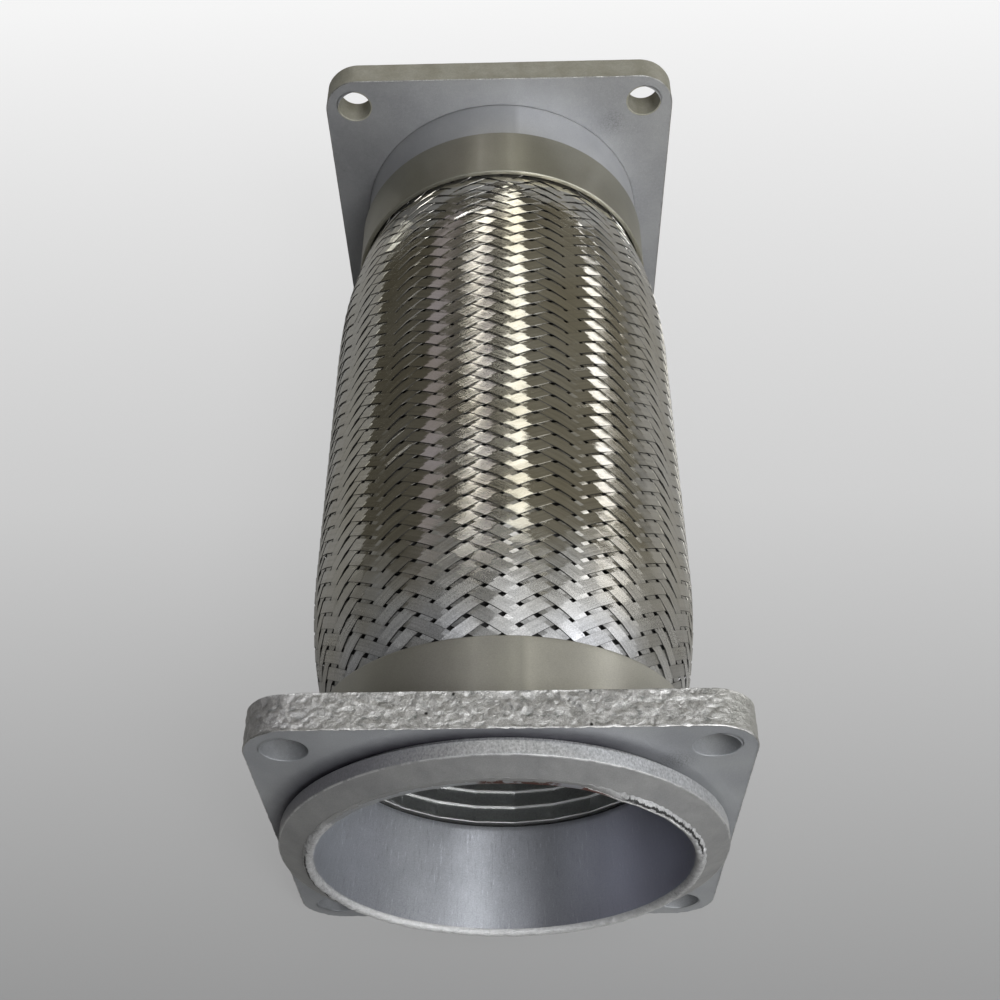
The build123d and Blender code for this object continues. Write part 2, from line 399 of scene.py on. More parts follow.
def painted_face(name, base, darker, seed, scuff, rub, roughness, shade_start=None):
    """Satin silver paint with dust, rubbed dark at scuff (x, z), with painted shade towards the left and
    painted shade of the ring from the radius given last.
    """
    look = Look(name, Metallic=0.35)
    place = look.place()
    where = look.vector("ADD", place, (seed, 0.0, seed))
    x = look.parts(place)[0]
    broad = look.ramp(look.grain(where, 0.035, 3.0), (0.35, 0.0), (0.68, 1.0))
    fine = look.grain(where, 0.9, 6.0, 0.65)
    colour = look.mix(broad, base, darker)
    glint = look.ramp(fine, (0.42, 0.0), (0.75, 0.35))
    colour = look.mix(glint, colour, tuple(1.25 * v for v in base))
    dust = look.ramp(look.spots(where, 0.16), (0.0, 0.35), (0.055, 0.0))
    colour = look.mix(dust, colour, (0.62, 0.62, 0.60))
    dark = look.ramp(look.grain(where, 0.12, 8.0, 0.7), (0.66, 0.0), (0.78, 0.5))
    colour = look.mix(dark, colour, tuple(0.45 * v for v in base))
    away = look.vector("DISTANCE", look.radial(place), (scuff[0], 0.0, scuff[1]), 1)
    patch = look.fade(away, 0.1, 0.0, (0.25, 1.0), (0.75, 0.0))
    rubbed = look.ramp(look.grain(where, 1.7, 6.0, 0.75), (0.46, 0.0), (0.60, rub))
    colour = look.mix(look.times(patch, rubbed), colour, tuple(0.25 * v for v in base))
    speckle = look.ramp(look.grain(where, 2.4, 4.0, 0.7), (0.35, 0.82), (0.65, 1.15))
    colour = look.shade(0.5, colour, speckle)
    # Painted shade: darker towards the left, where less light falls.
    left = look.fade(x, -0.02, -0.7, (0.0, 0.0), (0.5, 0.22))
    colour = look.mix(left, colour, (0.0, 0.0, 0.0))
    # Painted shade of the ring: the face darkens up and to the left of the ring, outwards from the given
    # radius.
    if shade_start:
        radius = look.radius(place)
        up_left = look.math("DIVIDE", look.toward(place, RING_SHADE_SIDE), radius)
        crescent = look.ramp(up_left, (0.02, 0.0), (0.45, 1.0))
        ragged = look.math("MULTIPLY_ADD", look.grain(where, 0.25, 5.0, 0.6), 3.0, -1.5)
        beyond = look.math("ADD", radius, ragged)
        painted_ring_shade = look.fade(beyond, 0.1, -0.1 * shade_start, (0.15, 0.95), (0.45, 0.6), (1.0, 0.0))
        colour = look.mix(look.times(painted_ring_shade, crescent), colour, (0.035, 0.032, 0.045))
    look.set("Base Color", colour)
    look.set("Roughness", look.ramp(fine, (0.3, roughness - 0.07), (0.75, roughness + 0.12)))
    peel = look.bump(look.grain(where, 1.6, 4.0, 0.6), 0.25, 0.00012)
    pits = look.ramp(look.grain(where, 0.5, 8.0, 0.75), (0.3, 0.0), (0.5, 1.0))
    look.set("Normal", look.bump(pits, 0.2, 0.0002, peel))
    return look.material


def cut_edge(name):
    """Flame-cut edge under thin silver paint, crumpled and pitted, with painted shade on the left."""
    look = Look(name, Metallic=0.75)
    where = look.place()
    x = look.parts(where)[0]
    lumps = look.grain(where, 0.40, 8.0, 0.65, 0.3)
    sand = look.grain(where, 3.0, 5.0, 0.7)
    colour = look.ramp(lumps, (0.28, (0.17, 0.185, 0.175)), (0.44, (0.36, 0.355, 0.34)),
                       (0.62, (0.56, 0.555, 0.54)), (0.78, (0.80, 0.795, 0.78)))
    colour = look.shade(0.85, colour, look.ramp(sand, (0.36, 0.74), (0.52, 1.1), (0.68, 1.42)))
    pits = look.ramp(look.spots(where, 0.21), (0.0, 1.0), (0.07, 1.0), (0.13, 0.0))
    sparse = look.ramp(look.grain(where, 0.09, 2.0), (0.52, 0.0), (0.6, 1.0))
    colour = look.mix(look.times(pits, sparse), colour, (0.035, 0.033, 0.03))
    # Painted shade: darker towards the left, where less light falls; to the right the edge turns an evener
    # warm grey.
    left = look.fade(x, -0.02, -0.9, (0.0, 0.0), (0.35, 0.35))
    colour = look.mix(left, colour, (0.29, 0.28, 0.30))
    right = look.fade(x, 0.02, -1.15, (0.0, 0.0), (0.25, 0.6))
    colour = look.mix(right, colour, (0.40, 0.395, 0.36))
    look.set("Base Color", colour)
    look.set("Roughness", look.ramp(sand, (0.3, 0.28), (0.7, 0.44)))
    look.set("Normal", look.bump(sand, 0.4, 0.00016, look.bump(lumps, 0.9, 0.0009)))
    return look.material


def plain_edge(name):
    """Olive-grey painted edge of the far flange."""
    look = Look(name, Metallic=0.35, Roughness=0.5)
    where = look.place()
    blotch = look.grain(where, 0.12, 5.0, 0.6)
    colour = look.ramp(blotch, (0.3, (0.25, 0.24, 0.19)), (0.7, (0.33, 0.32, 0.27)))
    fine = look.grain(where, 1.3, 5.0, 0.7)
    look.set("Base Color", look.shade(0.5, colour, look.ramp(fine, (0.3, 0.75), (0.7, 1.2))))
    look.set("Normal", look.bump(fine, 0.35, 0.0002))
    return look.material


def burr_metal(name):
    """Bare crinkled burr that catches the light."""
    look = Look(name, Metallic=1.0)
    fine = look.grain(look.place(), 1.4, 4.0, 0.7)
    look.set("Base Color", look.ramp(fine, (0.35, (0.27, 0.265, 0.255)), (0.65, (0.54, 0.535, 0.52))))
    look.set("Roughness", look.ramp(fine, (0.3, 0.36), (0.7, 0.52)))
    look.set("Normal", look.bump(fine, 0.5, 0.00015))
    return look.material


def ring_metal(name):
    """Turned ring: bright band with tool marks, matt cone and a worn corner; painted shade over the band's
    left side.
    """
    look = Look(name, Metallic=0.7)
    where = look.place()
    x, y = look.parts(where)[:2]
    marks = look.grain(look.stretch(where, 1.0, 0.7, 1.0), 1.5, 5.0, 0.6)
    matt = look.grain(where, 2.6, 6.0, 0.7)
    on_band = look.math("GREATER_THAN", y, RING_CORNER + 0.15)
    cone = look.ramp(look.grain(where, 0.10, 4.0, 0.5), (0.3, 0.235), (0.7, (0.285, 0.285, 0.28)))
    bright = look.ramp(marks, (0.3, (0.30, 0.305, 0.31)), (0.7, (0.66, 0.665, 0.67)))
    # Painted shade: the band darkens towards its left side, away from the light.
    left = look.fade(x, -0.014, -0.05, (0.0, 0.0), (0.5, 0.8))
    bright = look.mix(left, bright, (0.19, 0.183, 0.20))
    colour = look.mix(on_band, cone, bright)
    from_corner = look.apart(y, RING_CORNER)
    corner = look.math("LESS_THAN", from_corner, 0.22)
    worn = look.ramp(look.grain(where, 0.35, 4.0), (0.4, 0.0), (0.55, 1.0))
    colour = look.mix(look.times(corner, worn), colour, (0.38, 0.38, 0.375))
    colour = look.shade(0.4, colour, look.ramp(matt, (0.35, 0.75), (0.65, 1.2)))
    look.set("Base Color", colour)
    look.set("Roughness", look.mix(on_band, (0.55, 0.55, 0.55), (0.40, 0.40, 0.40)))
    look.set("Normal", look.bump(matt, 0.3, 0.0001, look.bump(marks, 0.3, 0.00012)))
    return look.material


def weld_metal(name):
    """Painted bead: flush grey top with rust, a painted highlight along the lip, broken dark lines at its
    sides, a painted highlight below.
    """
    look = Look(name, Metallic=0.5)
    where = look.place()
    lumps = look.grain(where, 0.8, 7.0, 0.7, 0.4)
    fine = look.grain(where, 3.2, 5.0, 0.7)
    spoke = look.vector("NORMALIZE", look.radial(where))
    on_rim = look.stretch(spoke, BEAD_RIM, BEAD_RIM, BEAD_RIM)
    radius = look.radius(where)

    def side(angle, spread):
        """Mask of the bead within spread degrees of an angle."""
        reach = BEAD_RIM * cos(radians(spread))
        room = BEAD_RIM + 0.2 - reach
        return look.math("MULTIPLY_ADD", look.toward(where, angle), 1 / room, -reach / room, clamp=True)

    def full_side(angle, spread):
        """The same mask with its fade kept to the ends."""
        return look.ramp(side(angle, spread), (0.0, 0.0), (0.3, 1.0))

    colour = look.ramp(lumps, (0.28, 0.14), (0.42, 0.30), (0.7, 0.48))
    wavy = look.math("MULTIPLY_ADD", look.grain(where, 0.7, 5.0, 0.65), 1.6, -0.8)
    outward = look.math("SUBTRACT", look.math("ADD", radius, wavy), BEAD_LIP)
    flush = look.times(full_side(-12, 52), look.ramp(outward, (0.55, 0.0), (0.75, 1.0)))
    colour = look.mix(flush, colour, (0.205, 0.205, 0.20))
    from_lip = look.apart(outward, 0.5)
    # Painted highlight: a pale line along the lip over the top and upper right.
    painted_lip_highlight = look.times(full_side(18, 52), look.ramp(from_lip, (0.12, 1.0), (0.28, 0.0)))
    colour = look.mix(painted_lip_highlight, colour, (0.85, 0.85, 0.83))
    # Painted highlight: the bead turns pale along its bottom.
    low = look.ramp(side(180, 70), (0.0, 0.0), (0.6, 0.45))
    colour = look.mix(low, colour, (0.62, 0.62, 0.61))

    toe = look.math("MULTIPLY_ADD", look.grain(on_rim, 0.30, 6.0, 0.7), 2.4, BEAD_LIP + 0.2)
    from_toe = look.apart(radius, toe)
    thick = look.math("MULTIPLY_ADD", look.grain(on_rim, 0.9, 3.0), 0.9, -0.5)
    line = look.ramp(look.math("SUBTRACT", from_toe, thick), (0.30, 1.0), (0.45, 0.0))
    open_side = look.math("ADD", side(56, 27), side(-102, 26), clamp=True)
    gate = look.math("ADD", look.grain(where, 0.2, 2.0), open_side)
    cracks = look.times(line, look.ramp(gate, (0.62, 0.0), (0.80, 1.0)))
    colour = look.mix(cracks, colour, (0.02, 0.02, 0.02))

    rust = look.ramp(look.grain(where, 0.16, 3.0), (0.30, 0.0), (0.38, 1.0))
    wider = look.math("MULTIPLY_ADD", side(5, 17), -0.6, 0.4)
    inside = look.ramp(look.math("ADD", outward, wider), (0.86, 1.0), (0.98, 0.0))
    rust = look.times(look.times(rust, inside), full_side(12, 24))
    look.set("Base Color", look.mix(rust, colour, (0.105, 0.038, 0.028)))
    look.set("Roughness", look.ramp(fine, (0.3, 0.42), (0.7, 0.62)))
    look.set("Normal", look.bump(fine, 0.5, 0.00018, look.bump(lumps, 0.8, 0.0005)))
    return look.material


def sleeve_paint(name):
    """Silver paint with scratches along the bore, painted shade at the mouth and painted light deeper in,
    painted mauve shade at the right, rust at the top of its mouth.
    """
    look = Look(name, Metallic=0.85, Anisotropic=0.6, Anisotropic_Rotation=0.25)
    look.set("Tangent", look.out("Tangent", direction_type="RADIAL", axis="Y"))
    where = look.place()
    x, y = look.parts(where)[:2]
    scratch = look.grain(look.stretch(where, 1.3, 0.018, 1.3), 1.0, 5.0, 0.7)
    fine = look.grain(where, 1.1, 6.0, 0.65)
    broad = look.grain(where, 0.05, 3.0)
    colour = look.ramp(broad, (0.3, (0.42, 0.435, 0.46)), (0.7, (0.50, 0.515, 0.545)))
    scored = look.ramp(scratch, (0.34, 0.72), (0.44, 1.0), (0.60, 1.0), (0.66, 1.55))
    colour = look.shade(0.6, colour, scored)
    speckle = look.ramp(look.grain(where, 2.2, 4.0, 0.7), (0.35, 0.8), (0.65, 1.2))
    colour = look.shade(0.6, colour, speckle)
    # Painted shade and light: darker towards the mouth, lighter deeper in the bore.
    colour = look.shade(1.0, colour, look.fade(y, 0.03, 0.36, (0.0, 0.76), (0.35, 0.92), (0.8, 1.05)))
    # Painted shade: the right wall darkens to a mauve grey.
    painted_mauve_shade = look.fade(x, 0.02, 0.1, (0.0, 0.0), (1.0, 0.8))
    colour = look.mix(painted_mauve_shade, colour, (0.21, 0.205, 0.255))
    spoke = look.vector("NORMALIZE", look.radial(where))
    at_top = look.fade(look.toward(spoke, 5), 50.0, -49.0, (0.0, 0.0), (0.3, 1.0))
    on_end = look.math("LESS_THAN", y, RING_FRONT + 0.4)
    rust = look.ramp(look.grain(where, 0.35, 4.0), (0.36, 0.0), (0.46, 1.0))
    rust = look.times(rust, look.times(at_top, on_end))
    look.set("Base Color", look.mix(rust, colour, (0.085, 0.036, 0.026)))
    look.set("Roughness", look.ramp(fine, (0.3, 0.29), (0.7, 0.41)))
    look.set("Normal", look.bump(fine, 0.18, 0.0001, look.bump(scratch, 0.12, 0.0001)))
    return look.material


def cap_metal(name, base, darker, seed, step=(0.92, 1.16)):
    """Satin metal with a faint drawn grain; step paints a reflection edge, scaling its left and its right."""
    look = Look(name, Metallic=0.8, Coat_Weight=0.15, Coat_Roughness=0.14)
    place = look.place()
    where = look.vector("ADD", place, (seed, 0.0, 0.0))
    colour = look.ramp(look.grain(where, 0.04, 3.0), (0.3, base), (0.7, darker))
    fine = look.grain(look.stretch(where, 0.8, 1.2, 0.8), 2.4, 6.0, 0.7)
    colour = look.shade(0.6, colour, look.ramp(fine, (0.3, 0.8), (0.7, 1.2)))
    # Painted reflection: an edge just right of the middle, darker to its left and lighter to its right by
    # step.
    painted_reflection_step = look.fade(look.parts(place)[0], 0.04, 0.2, (0.46, step[0]), (0.56, step[1]))
    colour = look.shade(1.0, colour, painted_reflection_step)
    specks = look.ramp(look.spots(where, 0.14), (0.0, 0.5), (0.03, 0.0))
    look.set("Base Color", look.mix(specks, colour, (0.8, 0.8, 0.78)))
    look.set("Roughness", look.ramp(fine, (0.3, 0.32), (0.7, 0.42)))
    look.set("Normal", look.bump(fine, 0.25, 0.0001))
    return look.material


def strip_metal(name):
    """Dark rolled strip with a painted highlight along each lip."""
    look = Look(name, Metallic=0.95)
    where = look.place()
    along = look.math("SUBTRACT", look.parts(where)[1], LINER_START)
    phase = look.math("FRACT", look.math("DIVIDE", along, LINER_PITCH))
    # Painted highlight along each lip.
    lip = look.ramp(phase, (0.0, 1.0), (0.05, 0.95), (0.09, 0.0), (0.985, 0.0), (1.0, 0.9))
    fine = look.grain(where, 1.4, 4.0, 0.6)
    dark = look.ramp(fine, (0.3, (0.26, 0.27, 0.265)), (0.7, (0.37, 0.38, 0.375)))
    look.set("Base Color", look.mix(lip, dark, (0.70, 0.70, 0.69)))
    look.set("Roughness", look.ramp(fine, (0.3, 0.34), (0.7, 0.48)))
    look.set("Normal", look.bump(fine, 0.10, 0.0001))
    return look.material


def wire_metal(name):
    """Flat bands of fine bright wires: smooth along the wires, rougher across them, sandy near the cap;
    painted shade between wires, under crossings and at band edges.
    """
    look = Look(name, Metallic=0.94, Anisotropic=0.75)
    look.set("Tangent", look.out("Tangent", direction_type="UV_MAP", uv_map="UVMap"))
    uv = look.out("TexCoord", socket="UV")
    where = look.place()
    across, phase = look.parts(uv)[:2]
    streak = look.grain(look.stretch(uv, 0.42, 0.12, 1.0), 1.0, 2.0, 0.5)
    tone = look.grain(where, 0.03, 3.0)
    colour = look.ramp(tone, (0.35, (0.58, 0.55, 0.47)), (0.65, (0.66, 0.645, 0.60)))
    colour = look.shade(0.35, colour, look.ramp(streak, (0.3, 0.62), (0.5, 1.0), (0.7, 1.2)))
    # Painted shade in the grooves between the wires.
    wires = look.math("ABSOLUTE", look.math("SINE", look.times(across, pi)))
    colour = look.shade(0.4, colour, look.ramp(wires, (0.0, 0.7), (0.3, 1.0)))
    # Painted shade where a band dips under the crossing bands.
    turn = look.math("COSINE", look.times(phase, pi / 2))
    colour = look.shade(1.0, colour, look.fade(turn, 0.5, 0.5, (0.25, 0.78), (0.62, 1.0)))
    near = look.fade(look.parts(where)[1], -0.025, 2.0, (0.0, 0.0), (1.0, 1.0))
    sand = look.grain(where, 2.4, 3.0, 0.6)
    sandy = look.ramp(sand, (0.36, (0.60, 0.62, 0.68)), (0.64, (0.94, 0.97, 1.06)))
    colour = look.mix(near, colour, look.shade(1.0, colour, sandy))
    # Painted shade along each band's edges, where bands overlap.
    on_band = look.math("MODULO", across, 2.0 * WIRES)
    from_middle = look.apart(on_band, 0.5 * WIRES)
    edge = look.fade(from_middle, 2.0 / WIRES, 0.0, (0.93, 1.0), (0.97, 0.25))
    look.set("Base Color", look.shade(1.0, colour, edge))
    crisp = look.ramp(streak, (0.35, 0.105), (0.65, 0.15))
    satin = look.ramp(sand, (0.35, 0.32), (0.65, 0.38))
    look.set("Roughness", look.mix(near, crisp, satin))
    look.set("Normal", look.bump(streak, 0.12, 0.00012))
    return look.material


def hidden_metal(name, grey):
    """Dull metal of the pieces that are seen only through gaps or from behind."""
    look = Look(name, Metallic=0.6)
    fine = look.grain(look.place(), 0.8, 4.0, 0.6)
    look.set("Base Color", look.shade(0.5, grey, look.ramp(fine, (0.3, 0.7), (0.7, 1.2))))
    look.set("Roughness", look.ramp(fine, (0.3, 0.45), (0.7, 0.65)))
    look.set("Normal", look.bump(fine, 0.3, 0.0002))
    return look.material


near_paint = painted_face(
    "near_face_paint", (0.29, 0.298, 0.305), (0.22, 0.227, 0.24), 11.0, (51.5, 53.0), 0.858, 0.46,
    RING_SHADE_START)
far_paint = painted_face(
    "far_face_paint", (0.325, 0.328, 0.33), (0.26, 0.263, 0.27), 57.0, (49.5, 52.0), 0.45, 0.44)
near_edge_paint = cut_edge("near_edge")
far_edge_paint = plain_edge("far_edge")
burr_look = burr_metal("burr")
ring_look = ring_metal("seal_ring")
weld_look = weld_metal("weld_bead")
sleeve_look = sleeve_paint("sleeve_silver")
near_cap_look = cap_metal("near_cap", (0.44, 0.43, 0.38), (0.38, 0.37, 0.335), 3.0, (0.90, 1.26))
far_cap_look = cap_metal("far_cap", (0.32, 0.31, 0.255), (0.27, 0.26, 0.22), 8.0, (0.95, 1.05))
collar_look = cap_metal("far_collar", (0.52, 0.525, 0.53), (0.45, 0.455, 0.47), 21.0)
strip_look = strip_metal("liner_strip")
wire_look = wire_metal("braid_wire")
# The bellows is near black: painted shade for what shows through the braid's gaps.
bellows_shade_look = hidden_metal("inner_metal", (0.10, 0.10, 0.10))
plain_look = hidden_metal("plain_weld", (0.30, 0.30, 0.29))


# Flange plates

def square_loop(inset, count):
    """Points (x, z) and outward normals round a square with rounded corners."""
    straight = PLATE_HALF - PLATE_CORNER
    side = 2 * straight
    arc = pi / 2 * PLATE_CORNER
    s = np.arange(count) / count * 4 * (side + arc)
    quarter = np.floor(s / (side + arc)).astype(int) % 4
    rest = s - quarter * (side + arc)
    turn = np.clip((rest - side) / arc, 0, 1) * pi / 2
    run = np.minimum(rest, side)
    # The first quarter runs along the top edge towards +x and round that corner.
    nx, nz = np.sin(turn), np.cos(turn)
    px = run - straight + (PLATE_CORNER - inset) * nx
    pz = straight + (PLATE_CORNER - inset) * nz
    c, q = np.cos(quarter * pi / 2), np.sin(quarter * pi / 2)
    return px * c + pz * q, pz * c - px * q, nx * c + nz * q, nz * c - nx * q


def circle_loop(cx, cz, radius, count):
    a = np.arange(count) / count * 2 * pi
    return cx + radius * np.sin(a), cz + radius * np.cos(a)


def flat_sheet(outer, holes, y, up):
    """Triangles between one outer loop and its holes, at height y."""
    loops = [outer] + holes
    points = [Vector((a, b)) for loop in loops for a, b in zip(*loop)]
    edges, start = [], 0
    for loop in loops:
        n = len(loop[0])
        edges += [(start + i, start + (i + 1) % n) for i in range(n)]
        start += n
    made = delaunay_2d_cdt(points, edges, [], 0, 1e-6)
    flat, tris = np.array([tuple(p) for p in made[0]]), np.array([list(f) for f in made[2]])
    centre = flat[tris].mean(1)
    keep = np.ones(len(tris), bool)
    for hx, hz in holes:
        middle = (np.mean(hx), np.mean(hz))
        radius = np.hypot(hx[0] - middle[0], hz[0] - middle[1])
        keep &= np.hypot(centre[:, 0] - middle[0], centre[:, 1] - middle[1]) > radius * 0.9995
    half = np.max(np.abs(outer[0]))
    bend = PLATE_CORNER - (PLATE_HALF - half)
    corner = np.maximum(np.abs(centre) - (half - bend), 0)
    keep &= np.hypot(corner[:, 0], corner[:, 1]) < bend
    tris = tris[keep]
    ab, ac = flat[tris[:, 1]] - flat[tris[:, 0]], flat[tris[:, 2]] - flat[tris[:, 0]]
    # In (x, z) a positive turn faces -Y.
    turn = ab[:, 0] * ac[:, 1] - ab[:, 1] * ac[:, 0] > 0
    flip = turn if up > 0 else ~turn
    tris[flip] = tris[flip][:, ::-1]
    return np.stack([flat[:, 0], np.full(len(flat), y), flat[:, 1]], -1), tris


def rim_slot(here, after):
    """Material of the strip between two of the rim's rows."""
    inset, depth = here
    if after[0] <= 0.25 and after[1] <= 0.2 or depth < 0.2 and inset < 0.25:
        return BURR
    return EDGE if 0.1 < depth < PLATE_THICKNESS - 0.1 else FACE


def slotted(points, faces, slot):
    """Part of a mesh whose faces share one material slot."""
    return points.reshape(-1, 3), faces, np.full(len(faces), slot)


def plate_piece(name, front, rough, face_look, edge_look, hole_slot, front_bore, back_bore, node):
    """Square plate; rough(x, z, depth, inset) says how far each rim point sinks in and moves along."""
    rows = list(FRONT_RIM)
    rows += [(0.0, depth) for depth in np.arange(0.75, PLATE_THICKNESS - 0.7, 0.4)]
    rows += [(inset, PLATE_THICKNESS - depth) for inset, depth in reversed(BACK_RIM)]
    rim = []
    for inset, depth in rows:
        x, z, nx, nz = square_loop(inset, RIM_POINTS)
        sink, push = rough(x, z, np.full(RIM_POINTS, depth), inset)
        rim.append(np.stack([x - nx * sink, front + depth + push, z - nz * sink], -1))
    strips = np.repeat([rim_slot(here, after) for here, after in zip(rows, rows[1:])], RIM_POINTS)
    parts = [(np.concatenate(rim), grid_faces(len(rows), RIM_POINTS)[:, ::-1], strips)]

    holes = [(x, z) for x in (-HOLE_OFFSET, HOLE_OFFSET) for z in (-HOLE_OFFSET, HOLE_OFFSET)]
    wide = HOLE_RADIUS + HOLE_EDGE
    wall = eased([(wide, 0), (HOLE_RADIUS, 0), (HOLE_RADIUS, PLATE_THICKNESS), (wide, PLATE_THICKNESS)], 0.5)
    wall = densify(wall, 1.0)
    for x, z in holes:
        hole = turned_grid(wall, HOLE_POINTS) + np.array([x, front, z])
        parts.append(slotted(hole, grid_faces(len(wall), HOLE_POINTS), hole_slot))
    bore = densify([(front_bore, 0), (front_bore, 0.01), (back_bore, PLATE_THICKNESS - 0.01),
                    (back_bore, PLATE_THICKNESS)], 3.0)
    tube = turned_grid(bore + np.array([0, front]), BORE_POINTS)
    parts.append(slotted(tube, grid_faces(len(bore), BORE_POINTS), FACE))

    outer = square_loop(SHEET_INSET, RIM_POINTS)[:2]
    for y, radius, up in ((front, front_bore, -1), (front + PLATE_THICKNESS, back_bore, 1)):
        loops = [circle_loop(x, z, wide, HOLE_POINTS) for x, z in holes]
        loops.append(circle_loop(0, 0, radius, BORE_POINTS))
        parts.append(slotted(*flat_sheet(outer, loops, y, up), FACE))
    points, faces, slots = join(parts)
    return make_piece(name, points, faces, [face_look, edge_look, burr_look], node, 50, slots=slots)


def near_rough(x, z, depth, inset):
    """Crumpled cut edge: lumps, pits, a drag step near the back, and a raised front burr."""
    on_edge = between(depth, 0.3, 11.8, 0.5)
    smooth_corner = 1 - 0.75 * between(x, 61, 80, 6) * between(z, 60, 80, 8)
    big = noise(x, depth * 1.4, z, 7.0, 3)
    lumps = noise(x, depth * 1.1, z, 2.1, 5)
    small = noise(x, depth, z, 0.95, 7)
    slant = noise(x + 0.55 * depth, depth * 0.25, z, 1.3, 8)
    ridged = between(x, -22, 30, 14) * between(depth, 5.5, 11.0, 2.5)
    speckled = between(x, -64, -38, 8)
    sink = 0.30 + 0.22 * big + 0.22 * lumps * smooth_corner
    sink = sink + (0.05 + 0.10 * speckled) * small * smooth_corner + 0.58 * ridged * slant
    pit = np.clip(noise(x, depth, z, 1.5, 9) - 0.66, 0, 1) * 1.6
    sink = sink + pit * smooth_corner
    drag = np.clip((depth - 8.4 - 0.7 * noise(x, 0.0, z, 5.0, 11)) / 0.5, 0, 1)
    sink = sink - 0.22 * drag * between(x, 26, 62, 8)
    sink = np.clip(sink, 0, 1.4) * on_edge
    lip = bell(inset, 0.32, 0.28) * (depth < 0.2)
    crinkle = 0.35 + 0.65 * noise(x, 0.0, z, 1.7, 13) + 0.35 * noise(x, 0.0, z, 0.7, 17)
    push = -0.24 * lip * np.clip(crinkle, 0, 1)
    worn = (depth < 0.2) * bell(inset, 0.1, 0.25)
    sink = sink + 0.25 * worn * (0.5 + 0.5 * noise(x, 0.0, z, 1.2, 19))
    back = (depth > 11.8) * bell(inset, 0.3, 0.4)
    push = push - 0.25 * back * np.clip(noise(x, 0.0, z, 4.0, 23), 0, 1)
    return sink, push


def far_rough(x, z, depth, inset):
    """Smoother edge with shallow waves and a fine front burr."""
    on_edge = between(depth, 0.3, 11.8, 0.5)
    sink = 0.12 + 0.10 * noise(x, depth, z, 6.0, 31) + 0.06 * noise(x, depth, z, 1.6, 33)
    sink = np.clip(sink, 0, 1) * on_edge
    lip = bell(inset, 0.25, 0.22) * (depth < 0.2)
    push = -0.18 * lip * np.clip(0.3 + 0.9 * noise(x, 0.0, z, 2.2, 37), 0, 1)
    return sink, push


plate_piece("near_flange_plate", 0.0, near_rough, near_paint, near_edge_paint, FACE,
            NEAR_BORE_FRONT, NEAR_BORE_BACK, "near_flange")
plate_piece("far_flange_plate", FAR_FACE, far_rough, far_paint, far_edge_paint, EDGE,
            COLLAR_OUTER + 0.1, COLLAR_OUTER + 0.1, "far_flange")


# Near mouth: ring, bead and sleeve

def ring_shape(r, y, a, x, z):
    """Slightly uneven cone and a burred corner."""
    corner = bell(y, RING_CORNER, 0.25) * (r > RING_OUTER - 0.5)
    wave = 0.05 * noise(x, y, z, 4.0, 41)
    burr = 0.10 * corner * noise(x, y, z, 1.3, 43)
    cone = (y < RING_CORNER - 0.3) * 0.10 * noise(x, y, z, 2.4, 45)
    return np.minimum(r + np.minimum(wave, 0) + np.minimum(burr, 0), RING_OUTER), y + cone


ring_profile = densify(eased([
    (RING_INNER, -0.02), (RING_HUB, -0.02), (RING_HUB, RING_HUB_END), (RING_OUTER, RING_HUB_END),
    (RING_OUTER, RING_CORNER), (64.4, RING_FRONT), (62.6, RING_FRONT)], 0.25), 0.45)
turned_piece("near_ring_body", ring_profile, 720, ring_look, "near_seal_ring", ring_shape, 35)


def bead_shape(r, y, a, x, z):
    """Uneven bead: flat at the top, ragged at upper right, split at the right, cracked at lower left."""
    deg = np.degrees(a)
    share = np.clip((RING_FRONT - y) / 2.1, 0, 1)
    outer = np.clip((r - BEAD_MIDDLE) / 1.6, 0, 1)
    ragged = between(np.abs(angle_gap(deg, 45)), -1, 30, 20)
    toe = (0.20 + 0.25 * ragged) * noise(x, 0.0, z, 1.7, 51) + 0.15 * noise(x, 0.0, z, 0.7, 53)
    top = between(angle_gap(deg, -10), -52, 38, 12)
    r = r + outer * toe
    lumps = 0.24 * noise(x, y, z, 2.4, 55) + 0.10 * noise(x, y, z, 0.9, 57)
    y = y + share * (lumps * (1 - 0.8 * top) + 0.25)
    split = bell(angle_gap(deg, 78), 0, 1.1) + 0.7 * bell(angle_gap(deg, 71), 0, 0.8)
    crack = bell(r - 63.6 - 0.5 * noise(x, 0.0, z, 3.0, 59), 0, 0.22)
    crack = crack * between(angle_gap(deg, -120), -13, 13, 5)
    y = y + share * (1.3 * split + 0.9 * crack)
    y = y + 1.9 * share * top
    inner = np.clip((RING_INNER - r) / 1.0, 0, 1)
    r = r + inner * 0.12 * noise(x, 0.0, z, 3.5, 61)
    return r, np.clip(y, BEAD_FRONT, RING_FRONT + 0.6)


bead_arc = [(BEAD_MIDDLE + BEAD_HALF * cos(t), BEAD_FOOT - BEAD_HEIGHT * sin(t))
            for t in np.linspace(0, pi, 17)]
bead_arc = densify(bead_arc, 0.22)
turned_piece("near_bead", bead_arc, 1000, weld_look, "near_rim_weld", bead_shape, 60)


def sleeve_shape(r, y, a, x, z):
    """Faint long waves along the bore."""
    return r + 0.06 * noise(x, y * 0.3, z, 14.0, 71), y


mouth = sleeve_inner(RING_FRONT)
sleeve_profile = [(sleeve_inner(y), y) for y in np.linspace(RING_FRONT, SLEEVE_END - 0.3, 24)]
sleeve_profile += [(SLEEVE_THROAT + 0.15, SLEEVE_END), (SLEEVE_THROAT + 1.6, SLEEVE_END),
                   (mouth + SLEEVE_WALL, RING_FRONT), (mouth, RING_FRONT)]
turned_piece("near_sleeve_tube", np.array(sleeve_profile), 512, sleeve_look, "near_sleeve",
             sleeve_shape, 50)


# Caps and collar

def dented(size, depth, seed):
    """Shape with shallow dents, as deep as depth and about as wide as size."""
    def shape(r, y, a, x, z):
        return r - depth * (0.5 + 0.5 * noise(x, y, z, size, seed)), y
    return shape


